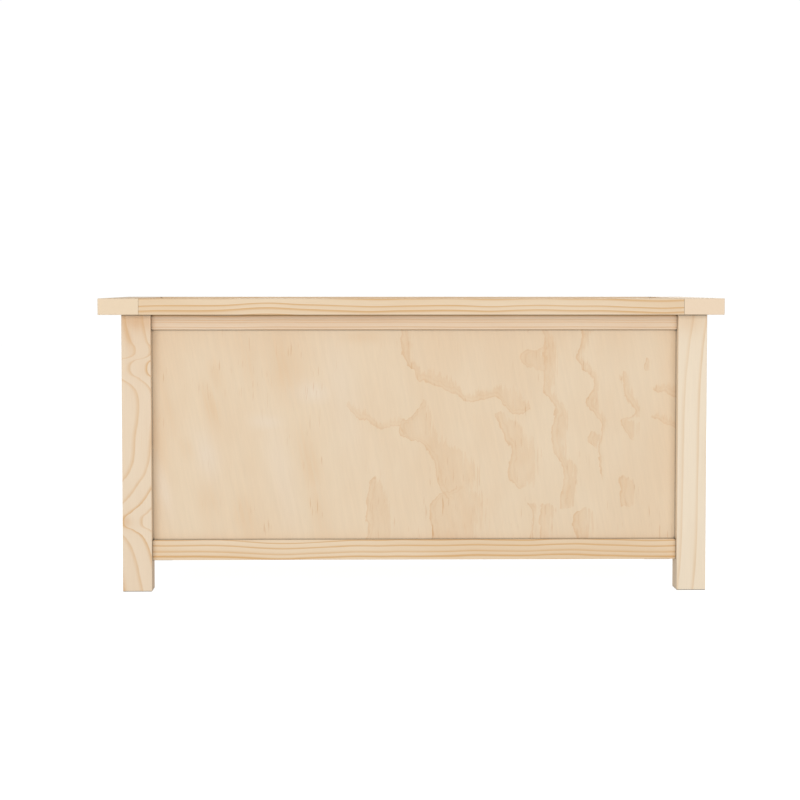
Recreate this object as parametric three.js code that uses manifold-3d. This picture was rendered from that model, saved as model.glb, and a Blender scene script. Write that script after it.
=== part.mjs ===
// Wooden toy box: a pine post-and-rail carcass with plywood panels, and a framed lid that
// swings on two butt hinges and is held by a pair of folding friction stays.
//
// Millimetres. X points right, Y to the back, Z up. The origin is on the floor, under the
// middle of the overall box. The lid is closed.

import * as THREE from 'three';
import { mergeVertices } from 'three/addons/utils/BufferGeometryUtils.js';
import Module from 'manifold-3d';

const wasm = await Module();
wasm.setup();

// Lid: a frame of four boards round a plywood panel.
const LID_WIDTH = 900;
const LID_DEPTH = 420;
const LID_THICKNESS = 23.5;
const LID_BOARD_WIDTH = 58;
const LID_GAP = 0.3;

// Carcass: four posts, a ring of rails at the top and one at the bottom.
const BOX_WIDTH = 848;
const BOX_OFFSET_X = 5;
const FRONT_OVERHANG = 25;
const POST_SIZE = 42;
const POST_HEIGHT = 401.7;
const RAIL_THICKNESS = 22;
const TOP_RAIL_HEIGHT = 21.7;
const BOTTOM_RAIL_HEIGHT = 29.2;
const BOTTOM_RAIL_UNDERSIDE = 44.5;
const RAIL_SETBACK = 10;
const BACK_RAIL_SETBACK = 0;

// Joinery.
const PANEL_THICKNESS = 6;
const GROOVE_DEPTH = 8;
const PANEL_TONGUE = 7.5;
const TENON_LENGTH = 14;
const TENON_THICKNESS = 10;
const TENON_SHOULDER = 2;
const LID_TENON_SHOULDER = 14;
const FIT_GAP = 0.3;

// How far a cutting or joined solid runs past the face that it meets.
const OVERREACH = 1;

// Floor of the box and the cleats that carry it.
const FLOOR_BELOW_RAIL_TOP = 2;
const FLOOR_MARGIN = 0.5;
const CLEAT_SIZE = 18;

// Butt hinges, let in flush with the wood.
const HINGE_SPACING = 560;
const HINGE_LENGTH = 60;
const HINGE_LEAF_REACH = 16;
const HINGE_LEAF_THICKNESS = 1;
const HINGE_LEAF_PARTING = 0.3;
const HINGE_STANDOFF = 4;
const BARREL_RADIUS = 3.5;
const BARREL_BORE_RADIUS = 1.8;
const HINGE_PIN_RADIUS = 1.5;
const HINGE_PIN_HEAD_RADIUS = 2.6;
const HINGE_PIN_HEAD_THICKNESS = 1;
const KNUCKLE_COUNT = 5;
const KNUCKLE_PARTING = 0.3;
const BARREL_CLEARANCE = 0.4;

// Folding stays. Each is a parallelogram with the hinge axis, so it folds flat at the side.
const STAY_REACH = 145;
const STAY_BOX_PIVOT_DROP = 19.75;
const STAY_LID_PIVOT_DROP = 6.75;
const STAY_ARM_WIDTH = 11;
const STAY_ARM_THICKNESS = 2;
const STAY_LAYER_GAP = 0.5;
const STAY_PLATE_THICKNESS = 1.5;
const STAY_PLATE_LENGTH = 46;
const STAY_PLATE_HEIGHT = 25;
const STAY_PLATE_EDGE = 6.5;
const STAY_PLATE_CORNER = 3;
const STAY_PLATE_STANDOFF = 0.2;
const STAY_FLANGE_LENGTH = 44;
const STAY_FLANGE_REACH = 34;
const STAY_HOLE_SPACING = 30;
const RIVET_RADIUS = 2;
const RIVET_HEAD_RADIUS = 4;
const RIVET_HEAD_THICKNESS = 1;

// Fastener holes and round shapes.
const SCREW_HEAD_RADIUS = 3;
const ROUND_SEGMENTS = 20;

// Derived places.
const LID_UNDERSIDE = POST_HEIGHT + LID_GAP;
const OVERALL_DEPTH = LID_DEPTH + HINGE_STANDOFF + BARREL_RADIUS;
const LID_FRONT_Y = -OVERALL_DEPTH / 2;
const LID_BACK_Y = LID_FRONT_Y + LID_DEPTH;
const BOX_FRONT_Y = LID_FRONT_Y + FRONT_OVERHANG;
const BOX_BACK_Y = LID_BACK_Y;
const TOP_RAIL_UNDERSIDE = POST_HEIGHT - TOP_RAIL_HEIGHT;
const TOP_RAIL_MIDDLE_Z = (TOP_RAIL_UNDERSIDE + POST_HEIGHT) / 2;
const BOTTOM_RAIL_TOP = BOTTOM_RAIL_UNDERSIDE + BOTTOM_RAIL_HEIGHT;
const FLOOR_TOP = BOTTOM_RAIL_TOP - FLOOR_BELOW_RAIL_TOP;
const HINGE_Y = BOX_BACK_Y + HINGE_STANDOFF;
const HINGE_Z = POST_HEIGHT + LID_GAP / 2;
const GROOVE_WIDTH = PANEL_THICKNESS + 2 * FIT_GAP;
const MORTISE_DEPTH = TENON_LENGTH + FIT_GAP;
const MORTISE_WIDTH = TENON_THICKNESS + 2 * FIT_GAP;

const PINE = { color: 0xe8cfb0, roughness: 0.62, metalness: 0 };
const PINE_END = { color: 0xeed7ba, roughness: 0.66, metalness: 0 };
const PLYWOOD = { color: 0xe6cfb2, roughness: 0.6, metalness: 0 };
const STEEL = { color: 0xb9bcbe, roughness: 0.32, metalness: 1 };

// Solids ---------------------------------------------------------------------------------

function toSolid(geometry) {
  const bare = geometry.clone();
  bare.deleteAttribute('normal');
  bare.deleteAttribute('uv');
  const merged = mergeVertices(bare);
  return new wasm.Manifold(new wasm.Mesh({
    numProp: 3,
    vertProperties: Float32Array.from(merged.attributes.position.array),
    triVerts: Uint32Array.from(merged.index.array),
  }));
}

function toGeometry(solid) {
  const mesh = solid.getMesh();
  const indexed = new THREE.BufferGeometry();
  indexed.setAttribute('position', new THREE.BufferAttribute(mesh.vertProperties, mesh.numProp));
  indexed.setIndex(new THREE.BufferAttribute(mesh.triVerts, 1));
  const geometry = indexed.toNonIndexed();
  geometry.computeVertexNormals();
  return geometry;
}

// Joins the added geometries to the base, then takes the cut ones away.
function shaped(base, added, cut) {
  let solid = toSolid(base);
  for (const geometry of added) {
    solid = solid.add(toSolid(geometry));
  }
  for (const geometry of cut) {
    solid = solid.subtract(toSolid(geometry));
  }
  return toGeometry(solid);
}

// A block between two corners, given in either order along each axis.
function block(x, y, z) {
  const size = [x, y, z].map(([from, to]) => Math.abs(to - from));
  const middle = [x, y, z].map(([from, to]) => (from + to) / 2);
  return new THREE.BoxGeometry(...size).translate(...middle);
}

// An outline drawn in the Y-Z plane, extruded along X from one place to another.
function plateAcrossX(outline, from, to) {
  const plate = new THREE.ExtrudeGeometry(outline, {
    depth: Math.abs(to - from),
    bevelEnabled: false,
    curveSegments: ROUND_SEGMENTS / 2,
  });
  const shapeXToY = new THREE.Vector3(0, 1, 0);
  const shapeYToZ = new THREE.Vector3(0, 0, 1);
  const depthToX = new THREE.Vector3(1, 0, 0);
  plate.applyMatrix4(new THREE.Matrix4().makeBasis(shapeXToY, shapeYToZ, depthToX));
  return plate.translate(Math.min(from, to), 0, 0);
}

function rodAlongX(radius, from, to) {
  const rod = new THREE.CylinderGeometry(radius, radius, Math.abs(to - from), ROUND_SEGMENTS);
  return rod.rotateZ(Math.PI / 2).translate((from + to) / 2, 0, 0);
}

// The cutter for a 90 degree countersunk screw hole. The screw's head is flush with z = 0 and
// faces up, and the plate is below it.
function countersink(plateThickness) {
  const wide = SCREW_HEAD_RADIUS + OVERREACH;
  const narrow = SCREW_HEAD_RADIUS - plateThickness - OVERREACH / 2;
  const height = plateThickness + 1.5 * OVERREACH;
  const cone = new THREE.CylinderGeometry(wide, narrow, height, ROUND_SEGMENTS);
  return cone.rotateX(Math.PI / 2).translate(0, 0, OVERREACH - height / 2);
}

function roundHole(x, y, radius) {
  const hole = new THREE.Path();
  hole.absarc(x, y, radius, 0, 2 * Math.PI, true);
  return hole;
}

function addMesh(parent, name, geometry, look) {
  const mesh = new THREE.Mesh(geometry, new THREE.MeshStandardMaterial(look));
  mesh.name = name;
  parent.add(mesh);
  return mesh;
}

// Framing --------------------------------------------------------------------------------

// A rail along X, centred on the origin, with its panel groove in the top edge and a stub
// tenon at each end, below the groove.
function railGeometry(length, height, thickness, shoulder) {
  const top = height / 2;
  const grooveFloor = top - GROOVE_DEPTH;
  const tenonSpan = [shoulder - top, grooveFloor];
  const halfTenon = TENON_THICKNESS / 2;
  const halfGroove = GROOVE_WIDTH / 2;
  const rail = new THREE.BoxGeometry(length, thickness, height);
  const tenonReach = length / 2 + TENON_LENGTH;
  const tenon = block([-tenonReach, tenonReach], [-halfTenon, halfTenon], tenonSpan);
  const grooveReach = length / 2 + OVERREACH;
  const groove = block(
    [-grooveReach, grooveReach],
    [-halfGroove, halfGroove],
    [grooveFloor, top + OVERREACH],
  );
  return shaped(rail, [tenon], [groove]);
}

// The heights that the rail tenons take up in a post, bottom rail first.
function tenonHeights() {
  const bottom = [BOTTOM_RAIL_UNDERSIDE + TENON_SHOULDER, BOTTOM_RAIL_TOP - GROOVE_DEPTH];
  const top = [TOP_RAIL_UNDERSIDE + GROOVE_DEPTH, POST_HEIGHT - TENON_SHOULDER];
  return [bottom, top];
}

// A post centred on the Z axis, standing on z = 0. inwardX and inwardY are +1 or -1 towards
// the middle of the box, and endSetback is how far its front or back rails are set back.
function postGeometry(inwardX, inwardY, endSetback) {
  const half = POST_SIZE / 2;
  const railMiddle = RAIL_THICKNESS / 2 - half;
  const endRailY = inwardY * (endSetback + railMiddle);
  const sideRailX = inwardX * (RAIL_SETBACK + railMiddle);
  const outside = half + OVERREACH;
  const halfMortise = MORTISE_WIDTH / 2;
  const halfGroove = GROOVE_WIDTH / 2;
  const cuts = [];
  for (const [low, high] of tenonHeights()) {
    const tall = [low - FIT_GAP, high + FIT_GAP];
    const deepX = [inwardX * (half - MORTISE_DEPTH), inwardX * outside];
    const deepY = [inwardY * (half - MORTISE_DEPTH), inwardY * outside];
    cuts.push(block(deepX, [endRailY - halfMortise, endRailY + halfMortise], tall));
    cuts.push(block([sideRailX - halfMortise, sideRailX + halfMortise], deepY, tall));
  }
  const grooveTall = [BOTTOM_RAIL_TOP - GROOVE_DEPTH, TOP_RAIL_UNDERSIDE + GROOVE_DEPTH];
  const grooveX = [inwardX * (half - GROOVE_DEPTH), inwardX * outside];
  const grooveY = [inwardY * (half - GROOVE_DEPTH), inwardY * outside];
  cuts.push(block(grooveX, [endRailY - halfGroove, endRailY + halfGroove], grooveTall));
  cuts.push(block([sideRailX - halfGroove, sideRailX + halfGroove], grooveY, grooveTall));
  const post = new THREE.BoxGeometry(POST_SIZE, POST_SIZE, POST_HEIGHT);
  post.translate(0, 0, POST_HEIGHT / 2);
  return shaped(post, [], cuts);
}

function addPosts(carcass) {
  const reachX = (BOX_WIDTH - POST_SIZE) / 2;
  const rows = [
    { row: 'front', y: BOX_FRONT_Y + POST_SIZE / 2, inwardY: 1, setback: RAIL_SETBACK },
    { row: 'back', y: BOX_BACK_Y - POST_SIZE / 2, inwardY: -1, setback: BACK_RAIL_SETBACK },
  ];
  for (const { row, y, inwardY, setback } of rows) {
    for (const [side, inwardX] of [['left', 1], ['right', -1]]) {
      const geometry = postGeometry(inwardX, inwardY, setback);
      const post = addMesh(carcass, `post_${row}_${side}`, geometry, PINE);
      post.position.set(-inwardX * reachX, y, 0);
    }
  }
}

// The cutters for both hinges' leaves in a rail whose centre is at the given place. upDown is
// +1 for the lid's rail, above the pins, and -1 for the box's.
function hingePockets(upDown, railX, railY, railZ) {
  const reach = HINGE_LENGTH / 2 + FIT_GAP;
  const front = -HINGE_STANDOFF - HINGE_LEAF_REACH - FIT_GAP;
  const deep = upDown * (HINGE_LEAF_PARTING / 2 + HINGE_LEAF_THICKNESS + FIT_GAP);
  return [-1, 1].map((outward) => {
    const pocket = block([-reach, reach], [front, 0], [-upDown * OVERREACH, deep]);
    const pinX = BOX_OFFSET_X + outward * HINGE_SPACING / 2;
    return pocket.translate(pinX - railX, HINGE_Y - railY, HINGE_Z - railZ);
  });
}

// One wall of the carcass: two rails and the panel between them, built along X about the
// origin and then turned and moved with its group.
function wallGroup(wall, span, topRailCuts) {
  const group = new THREE.Group();
  const length = span - 2 * FIT_GAP;
  const bottomGeometry = railGeometry(length, BOTTOM_RAIL_HEIGHT, RAIL_THICKNESS, TENON_SHOULDER);
  const bottomRail = addMesh(group, `${wall}_bottom_rail`, bottomGeometry, PINE);
  bottomRail.position.z = BOTTOM_RAIL_UNDERSIDE + BOTTOM_RAIL_HEIGHT / 2;
  const topBlank = railGeometry(length, TOP_RAIL_HEIGHT, RAIL_THICKNESS, TENON_SHOULDER);
  const topGeometry = shaped(topBlank.rotateX(Math.PI), [], topRailCuts);
  const topRail = addMesh(group, `${wall}_top_rail`, topGeometry, PINE);
  topRail.position.z = TOP_RAIL_MIDDLE_Z;
  const panelHeight = TOP_RAIL_UNDERSIDE - BOTTOM_RAIL_TOP + 2 * PANEL_TONGUE;
  const panelWidth = span + 2 * PANEL_TONGUE;
  const panelGeometry = new THREE.BoxGeometry(panelWidth, PANEL_THICKNESS, panelHeight);
  const panel = addMesh(group, `${wall}_panel`, panelGeometry, PLYWOOD);
  panel.position.z = (TOP_RAIL_UNDERSIDE + BOTTOM_RAIL_TOP) / 2;
  return group;
}

function addWalls(carcass) {
  const longSpan = BOX_WIDTH - 2 * POST_SIZE;
  const shortSpan = BOX_BACK_Y - BOX_FRONT_Y - 2 * POST_SIZE;
  const front = wallGroup('front', longSpan, []);
  front.position.y = BOX_FRONT_Y + RAIL_SETBACK + RAIL_THICKNESS / 2;
  const backY = BOX_BACK_Y - BACK_RAIL_SETBACK - RAIL_THICKNESS / 2;
  const backCuts = hingePockets(-1, BOX_OFFSET_X, backY, TOP_RAIL_MIDDLE_Z);
  const back = wallGroup('back', longSpan, backCuts);
  back.position.y = backY;
  carcass.add(front, back);
  for (const [side, outward] of [['left', -1], ['right', 1]]) {
    const wall = wallGroup(side, shortSpan, []);
    wall.rotation.z = Math.PI / 2;
    wall.position.x = outward * (BOX_WIDTH / 2 - RAIL_SETBACK - RAIL_THICKNESS / 2);
    wall.position.y = (BOX_FRONT_Y + BOX_BACK_Y) / 2;
    carcass.add(wall);
  }
}

// Where the rails' and the posts' inner faces stand, seen from above.
function insideFaces() {
  return {
    railX: BOX_WIDTH / 2 - RAIL_SETBACK - RAIL_THICKNESS,
    railFront: BOX_FRONT_Y + RAIL_SETBACK + RAIL_THICKNESS,
    railBack: BOX_BACK_Y - BACK_RAIL_SETBACK - RAIL_THICKNESS,
    postX: BOX_WIDTH / 2 - POST_SIZE,
    postFront: BOX_FRONT_Y + POST_SIZE,
    postBack: BOX_BACK_Y - POST_SIZE,
  };
}

// The floor fills the space between the rails, with a notch round each post.
function addFloor(carcass) {
  const faces = insideFaces();
  const margin = FLOOR_MARGIN;
  const wide = faces.railX - margin;
  const narrow = faces.postX - margin;
  const front = faces.railFront + margin;
  const back = faces.railBack - margin;
  const notchFront = faces.postFront + margin;
  const notchBack = faces.postBack - margin;
  const outline = new THREE.Shape();
  outline.moveTo(-narrow, front);
  outline.lineTo(narrow, front);
  outline.lineTo(narrow, notchFront);
  outline.lineTo(wide, notchFront);
  outline.lineTo(wide, notchBack);
  outline.lineTo(narrow, notchBack);
  outline.lineTo(narrow, back);
  outline.lineTo(-narrow, back);
  outline.lineTo(-narrow, notchBack);
  outline.lineTo(-wide, notchBack);
  outline.lineTo(-wide, notchFront);
  outline.lineTo(-narrow, notchFront);
  const geometry = new THREE.ExtrudeGeometry(outline, {
    depth: PANEL_THICKNESS,
    bevelEnabled: false,
  });
  const floor = addMesh(carcass, 'floor_panel', geometry, PLYWOOD);
  floor.position.z = FLOOR_TOP - PANEL_THICKNESS;
}

// Square cleats along the inside of the bottom rails, under the floor.
function addCleats(carcass) {
  const faces = insideFaces();
  const topZ = FLOOR_TOP - PANEL_THICKNESS - FIT_GAP;
  const tall = [topZ - CLEAT_SIZE, topZ];
  const longX = [FIT_GAP - faces.postX, faces.postX - FIT_GAP];
  const frontY = faces.railFront + FIT_GAP;
  const backY = faces.railBack - FIT_GAP;
  const front = block(longX, [frontY, frontY + CLEAT_SIZE], tall);
  const back = block(longX, [backY - CLEAT_SIZE, backY], tall);
  addMesh(carcass, 'floor_cleat_front', front, PINE);
  addMesh(carcass, 'floor_cleat_back', back, PINE);
  const shortY = [
    Math.max(frontY + CLEAT_SIZE, faces.postFront) + FIT_GAP,
    Math.min(backY - CLEAT_SIZE, faces.postBack) - FIT_GAP,
  ];
  for (const [side, outward] of [['left', -1], ['right', 1]]) {
    const outerX = faces.railX - FIT_GAP;
    const acrossX = [outward * (outerX - CLEAT_SIZE), outward * outerX];
    addMesh(carcass, `floor_cleat_${side}`, block(acrossX, shortY, tall), PINE);
  }
}

// Lid ------------------------------------------------------------------------------------

// The cutter for a stay's flange, let in flush with the lid's underside. boardX is where the
// middle of the end board is, and outward is +1 or -1 away from the lid's middle.
function flangePocket(outward, boardX) {
  const railX = BOX_OFFSET_X + outward * insideFaces().railX;
  const outerX = railX + outward * (STAY_FLANGE_REACH - stayLayers().web[1] + FIT_GAP);
  const innerX = outward * (LID_WIDTH / 2 - LID_BOARD_WIDTH - OVERREACH);
  const reach = STAY_FLANGE_LENGTH / 2 + FIT_GAP;
  const middleY = stayPivots().lid.x - (LID_FRONT_Y + LID_BACK_Y) / 2;
  const underside = -LID_THICKNESS / 2;
  return block(
    [innerX - boardX, outerX - boardX],
    [middleY - reach, middleY + reach],
    [underside - OVERREACH, underside + STAY_PLATE_THICKNESS + FIT_GAP],
  );
}

// An end board runs the whole depth of the lid. Its inner edge holds the lid rails' tenons
// and the panel. Built about its own centre; inward is +1 or -1 towards the lid's middle.
function lidEndBoardGeometry(inward, boardX) {
  const half = LID_BOARD_WIDTH / 2;
  const outside = half + OVERREACH;
  const halfMortise = MORTISE_WIDTH / 2;
  const halfGroove = GROOVE_WIDTH / 2;
  const cuts = [];
  for (const end of [-1, 1]) {
    const outerY = end * (LID_DEPTH / 2 - LID_TENON_SHOULDER + FIT_GAP);
    const innerY = end * (LID_DEPTH / 2 - LID_BOARD_WIDTH + GROOVE_DEPTH - FIT_GAP);
    const deep = [inward * (half - MORTISE_DEPTH), inward * outside];
    cuts.push(block(deep, [outerY, innerY], [-halfMortise, halfMortise]));
  }
  const grooveReach = LID_DEPTH / 2 - LID_BOARD_WIDTH + GROOVE_DEPTH;
  const grooveDeep = [inward * (half - GROOVE_DEPTH), inward * outside];
  cuts.push(block(grooveDeep, [-grooveReach, grooveReach], [-halfGroove, halfGroove]));
  cuts.push(flangePocket(-inward, boardX));
  const board = new THREE.BoxGeometry(LID_BOARD_WIDTH, LID_DEPTH, LID_THICKNESS);
  return shaped(board, [], cuts);
}

function addLidFrame(lid) {
  const middleZ = LID_THICKNESS / 2;
  for (const [side, outward] of [['left', -1], ['right', 1]]) {
    const boardX = outward * (LID_WIDTH - LID_BOARD_WIDTH) / 2;
    const geometry = lidEndBoardGeometry(-outward, boardX);
    const board = addMesh(lid, `lid_end_board_${side}`, geometry, PINE_END);
    board.position.set(boardX, 0, middleZ);
  }
  const span = LID_WIDTH - 2 * LID_BOARD_WIDTH;
  const length = span - 2 * FIT_GAP;
  const backRailY = LID_BACK_Y - LID_BOARD_WIDTH / 2;
  const cuts = { front: [], back: hingePockets(1, 0, backRailY, LID_UNDERSIDE + middleZ) };
  for (const [row, outward] of [['front', -1], ['back', 1]]) {
    const blank = railGeometry(length, LID_BOARD_WIDTH, LID_THICKNESS, LID_TENON_SHOULDER);
    const geometry = shaped(blank.rotateX(outward * Math.PI / 2), [], cuts[row]);
    const rail = addMesh(lid, `lid_${row}_rail`, geometry, PINE);
    rail.position.set(0, outward * (LID_DEPTH - LID_BOARD_WIDTH) / 2, middleZ);
  }
  const panelDepth = LID_DEPTH - 2 * LID_BOARD_WIDTH + 2 * PANEL_TONGUE;
  const panelWidth = span + 2 * PANEL_TONGUE;
  const panelGeometry = new THREE.BoxGeometry(panelWidth, panelDepth, PANEL_THICKNESS);
  const panel = addMesh(lid, 'lid_panel', panelGeometry, PLYWOOD);
  panel.position.z = middleZ;
}

// Hinges ---------------------------------------------------------------------------------

// A hinge leaf about its pin's axis, which is the X axis. It lies in front of the pin, above
// it for the lid (upDown = +1) and below it for the box (-1). parity says which knuckles it has.
function hingeLeafGeometry(upDown, parity) {
  const near = HINGE_LEAF_PARTING / 2;
  const thick = [upDown * near, upDown * (near + HINGE_LEAF_THICKNESS)];
  const halfLength = HINGE_LENGTH / 2;
  const plateFront = -HINGE_STANDOFF - HINGE_LEAF_REACH;
  const plateBack = -BARREL_RADIUS - BARREL_CLEARANCE;
  const tabBack = -(BARREL_RADIUS + BARREL_BORE_RADIUS) / 2;
  const plate = block([-halfLength, halfLength], [plateFront, plateBack], thick);
  const ring = new THREE.Shape();
  ring.absarc(0, 0, BARREL_RADIUS, 0, 2 * Math.PI, false);
  ring.holes.push(roundHole(0, 0, BARREL_BORE_RADIUS));
  const knuckleLength = HINGE_LENGTH / KNUCKLE_COUNT;
  const added = [];
  for (let knuckle = parity; knuckle < KNUCKLE_COUNT; knuckle += 2) {
    const from = knuckle * knuckleLength - halfLength + KNUCKLE_PARTING / 2;
    const to = from + knuckleLength - KNUCKLE_PARTING;
    added.push(plateAcrossX(ring, from, to));
    added.push(block([from, to], [plateBack - OVERREACH, tabBack], thick));
  }
  const holes = [];
  const holeY = (plateFront + plateBack) / 2;
  for (const place of [-1, 0, 1]) {
    const holeX = place * (halfLength - HINGE_LENGTH / KNUCKLE_COUNT / 2);
    const hole = countersink(HINGE_LEAF_THICKNESS);
    hole.rotateX(upDown > 0 ? Math.PI : 0);
    holes.push(hole.translate(holeX, holeY, upDown * near));
  }
  return shaped(plate, added, holes);
}

function hingePinGeometry() {
  const halfLength = HINGE_LENGTH / 2;
  const headEnd = halfLength + HINGE_PIN_HEAD_THICKNESS;
  const shank = rodAlongX(HINGE_PIN_RADIUS, -headEnd, headEnd);
  const heads = [-1, 1].map((end) => rodAlongX(
    HINGE_PIN_HEAD_RADIUS,
    end * (halfLength + KNUCKLE_PARTING / 2),
    end * headEnd,
  ));
  return shaped(shank, heads, []);
}

function addHinges(root) {
  for (const [side, outward] of [['left', -1], ['right', 1]]) {
    const hinge = new THREE.Group();
    hinge.position.set(BOX_OFFSET_X + outward * HINGE_SPACING / 2, HINGE_Y, HINGE_Z);
    addMesh(hinge, `hinge_${side}_box_leaf`, hingeLeafGeometry(-1, 0), STEEL);
    addMesh(hinge, `hinge_${side}_lid_leaf`, hingeLeafGeometry(1, 1), STEEL);
    addMesh(hinge, `hinge_${side}_pin`, hingePinGeometry(), STEEL);
    root.add(hinge);
  }
}

// Folding stays --------------------------------------------------------------------------

// Where each layer of a stay starts and ends, counted inwards from the side rail's face.
function stayLayers() {
  const plate = [STAY_PLATE_STANDOFF, STAY_PLATE_STANDOFF + STAY_PLATE_THICKNESS];
  const lowerStart = plate[1] + STAY_LAYER_GAP;
  const lower = [lowerStart, lowerStart + STAY_ARM_THICKNESS];
  const upperStart = lower[1] + STAY_LAYER_GAP;
  const upper = [upperStart, upperStart + STAY_ARM_THICKNESS];
  const webStart = upper[1] + STAY_LAYER_GAP;
  const web = [webStart, webStart + STAY_PLATE_THICKNESS];
  return { plate, lower, upper, web };
}

// The linkage's pivots as seen from the side, with x standing for Y and y for Z.
function stayPivots() {
  const box = new THREE.Vector2(HINGE_Y - STAY_REACH, HINGE_Z - STAY_BOX_PIVOT_DROP);
  const lid = new THREE.Vector2(HINGE_Y - STAY_REACH, HINGE_Z - STAY_LID_PIVOT_DROP);
  const hinge = new THREE.Vector2(HINGE_Y, HINGE_Z);
  const elbow = box.clone().add(lid).sub(hinge);
  return { box, lid, elbow };
}

function inLayer(inward, layer) {
  return [inward * layer[0], inward * layer[1]];
}

// A flat arm with round ends, from the origin along +Y, with a rivet hole at each end.
function stayArmGeometry(length, inward, layer) {
  const radius = STAY_ARM_WIDTH / 2;
  const outline = new THREE.Shape();
  outline.absarc(0, 0, radius, Math.PI / 2, -Math.PI / 2, false);
  outline.absarc(length, 0, radius, -Math.PI / 2, Math.PI / 2, false);
  outline.holes.push(roundHole(0, 0, RIVET_RADIUS + FIT_GAP));
  outline.holes.push(roundHole(length, 0, RIVET_RADIUS + FIT_GAP));
  return plateAcrossX(outline, ...inLayer(inward, layer));
}

function placeArm(arm, from, to) {
  arm.position.y = from.x;
  arm.position.z = from.y;
  arm.rotation.x = Math.atan2(to.y - from.y, to.x - from.x);
}

// A rectangle with round corners, from one corner point to the opposite one.
function roundedRectangle(left, bottom, right, top, corner) {
  const outline = new THREE.Shape();
  outline.absarc(left + corner, bottom + corner, corner, Math.PI, 1.5 * Math.PI, false);
  outline.absarc(right - corner, bottom + corner, corner, 1.5 * Math.PI, 2 * Math.PI, false);
  outline.absarc(right - corner, top - corner, corner, 0, 0.5 * Math.PI, false);
  outline.absarc(left + corner, top - corner, corner, 0.5 * Math.PI, Math.PI, false);
  return outline;
}

// The plate on the side rail. Its origin is its pivot, near the lower edge.
function stayBoxBracketGeometry(inward) {
  const { plate } = stayLayers();
  const half = STAY_PLATE_LENGTH / 2;
  const bottom = -STAY_PLATE_EDGE;
  const top = bottom + STAY_PLATE_HEIGHT;
  const outline = roundedRectangle(-half, bottom, half, top, STAY_PLATE_CORNER);
  outline.holes.push(roundHole(0, 0, RIVET_RADIUS + FIT_GAP));
  const holes = [-1, 1].map((end) => {
    const hole = countersink(STAY_PLATE_THICKNESS).rotateY(inward * Math.PI / 2);
    const holeY = end * STAY_HOLE_SPACING / 2;
    return hole.translate(inward * plate[1], holeY, top - STAY_PLATE_EDGE);
  });
  return shaped(plateAcrossX(outline, ...inLayer(inward, plate)), [], holes);
}

// The angle under the lid's end board: a flange with screw holes and a web with the pivot,
// which is its origin.
function stayLidBracketGeometry(inward) {
  const { web } = stayLayers();
  const flangeBottom = STAY_LID_PIVOT_DROP + LID_GAP / 2;
  const flangeTop = flangeBottom + STAY_PLATE_THICKNESS;
  const half = STAY_FLANGE_LENGTH / 2;
  const radius = STAY_ARM_WIDTH / 2;
  const outline = new THREE.Shape();
  outline.moveTo(-half, flangeTop);
  outline.lineTo(-half, flangeBottom);
  outline.absarc(0, 0, radius, Math.PI, 2 * Math.PI, false);
  outline.lineTo(half, flangeBottom);
  outline.lineTo(half, flangeTop);
  outline.holes.push(roundHole(0, 0, RIVET_RADIUS + FIT_GAP));
  const upright = plateAcrossX(outline, ...inLayer(inward, web));
  const flangeEnd = inward * (web[1] - STAY_FLANGE_REACH);
  const thick = [flangeBottom, flangeTop];
  const flange = block([flangeEnd, inward * web[1]], [-half, half], thick);
  const holes = [-1, 1].map((end) => {
    const hole = countersink(STAY_PLATE_THICKNESS).rotateX(Math.PI);
    const holeX = flangeEnd + inward * STAY_PLATE_EDGE;
    return hole.translate(holeX, end * STAY_HOLE_SPACING / 2, flangeBottom);
  });
  return shaped(upright, [flange], holes);
}

// A rivet along X through the given layers. A head is left off where a plate backs the end.
function rivetGeometry(inward, outerLayer, innerLayer, outerHead) {
  const shankFrom = outerLayer[0];
  const shankTo = innerLayer[1];
  const head = RIVET_HEAD_THICKNESS;
  const lift = STAY_PLATE_STANDOFF;
  const shankEnd = shankTo + lift + head;
  const shankStart = outerHead ? shankFrom - lift - head : shankFrom;
  const shank = rodAlongX(RIVET_RADIUS, inward * shankStart, inward * shankEnd);
  const heads = [rodAlongX(RIVET_HEAD_RADIUS, inward * (shankTo + lift), inward * shankEnd)];
  if (outerHead) {
    const headTo = inward * (shankFrom - lift);
    heads.push(rodAlongX(RIVET_HEAD_RADIUS, inward * shankStart, headTo));
  }
  return shaped(shank, heads, []);
}

function placeAtPivot(mesh, pivot) {
  mesh.position.y = pivot.x;
  mesh.position.z = pivot.y;
}

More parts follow.
